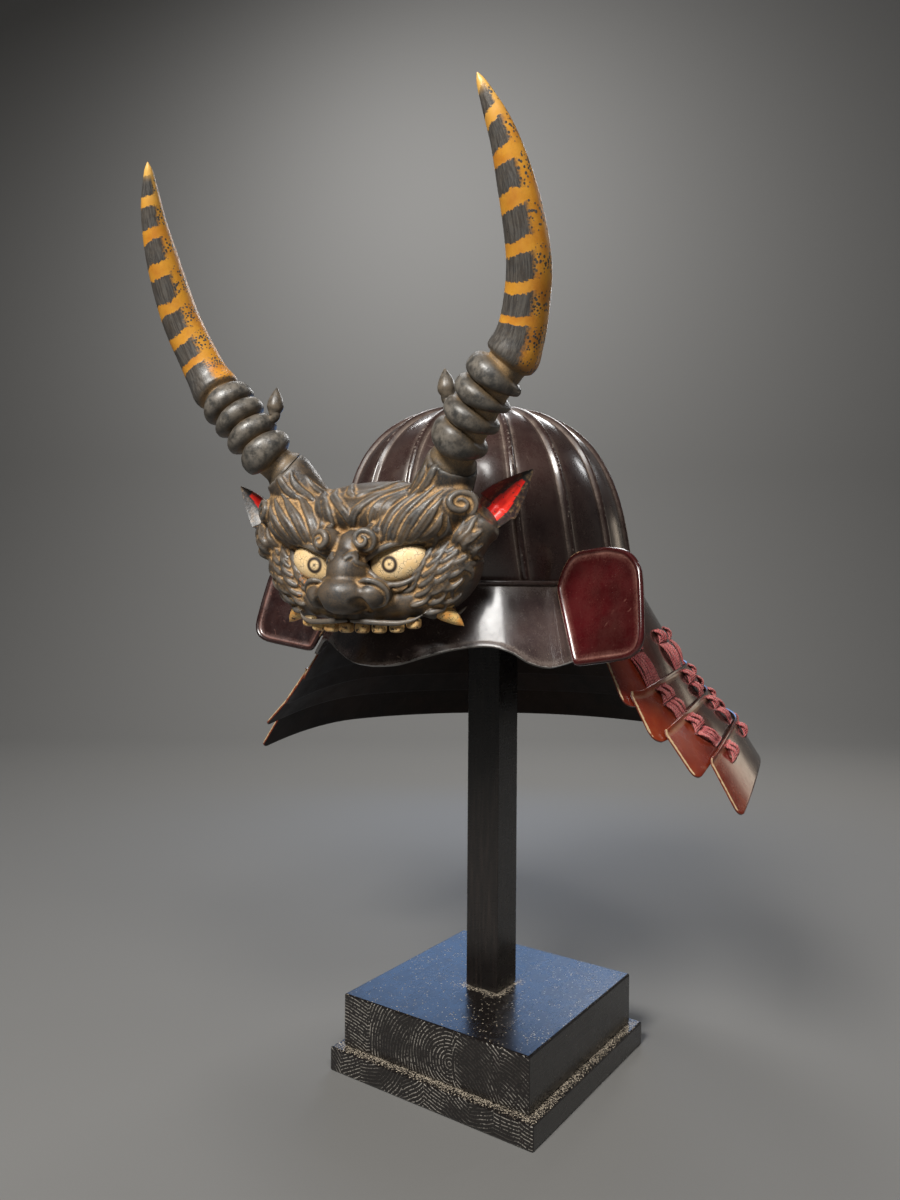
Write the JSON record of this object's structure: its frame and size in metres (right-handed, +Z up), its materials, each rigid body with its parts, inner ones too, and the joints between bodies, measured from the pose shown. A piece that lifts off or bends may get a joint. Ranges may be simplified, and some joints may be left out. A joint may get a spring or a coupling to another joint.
{
  "type": "samurai helmet with a horned crest on a wooden display stand",
  "caption": "Ribbed lacquered samurai helmet with visor, side flaps, laced flaring neck guard and a carved horned ogre crest, resting on a square post and stepped base.",
  "frame": {"origin": "on the floor, in the middle of the underside of the stand's base", "axes": "+Z up, -Y the way the helmet faces, +X the wearer's left"},
  "size_m": [0.4734, 0.5276, 0.708],
  "materials": {
    "stained_wood": "black stain, satin, with open grain",
    "bowl_lacquer": "dark brown lacquer, glossy, worn on the ribs",
    "red_lacquer": "red-brown lacquer, glossy, chipped along the edges",
    "lacing_cord": "braided silk cord, faded red",
    "carved_lacquer": "carved wood under black lacquer, ochre dust in the grooves",
    "horn_lacquer": "ochre lacquer with dark bands, worn",
    "ear_lacquer": "black lacquer outside, bright red inside",
    "tusk_paint": "worn gold paint",
    "bracket_iron": "dark iron"
  },
  "bodies": {
    "root": {"base_plinth": "stained_wood", "base_block": "stained_wood", "post": "stained_wood", "head_rest": "stained_wood", "bowl": "bowl_lacquer", "bowl_rim": "bowl_lacquer", "visor": "bowl_lacquer", "fukigaeshi_left": "red_lacquer", "fukigaeshi_right": "red_lacquer", "shikoro_lame_1": "red_lacquer", "shikoro_lame_2": "red_lacquer", "shikoro_lame_3": "red_lacquer", "shikoro_lame_4": "red_lacquer", "lacing_back": "lacing_cord", "lacing_left_1": "lacing_cord", "lacing_left_2": "lacing_cord", "lacing_left_3": "lacing_cord", "lacing_left_4": "lacing_cord", "lacing_left_5": "lacing_cord", "lacing_right_1": "lacing_cord", "lacing_right_2": "lacing_cord", "lacing_right_3": "lacing_cord", "lacing_right_4": "lacing_cord", "lacing_right_5": "lacing_cord", "face": "carved_lacquer", "horn_left": "horn_lacquer", "horn_right": "horn_lacquer", "ear_left": "ear_lacquer", "ear_right": "ear_lacquer", "tusk_left": "tusk_paint", "tusk_right": "tusk_paint", "crest_bracket": "bracket_iron"}
  },
  "joints": []
}
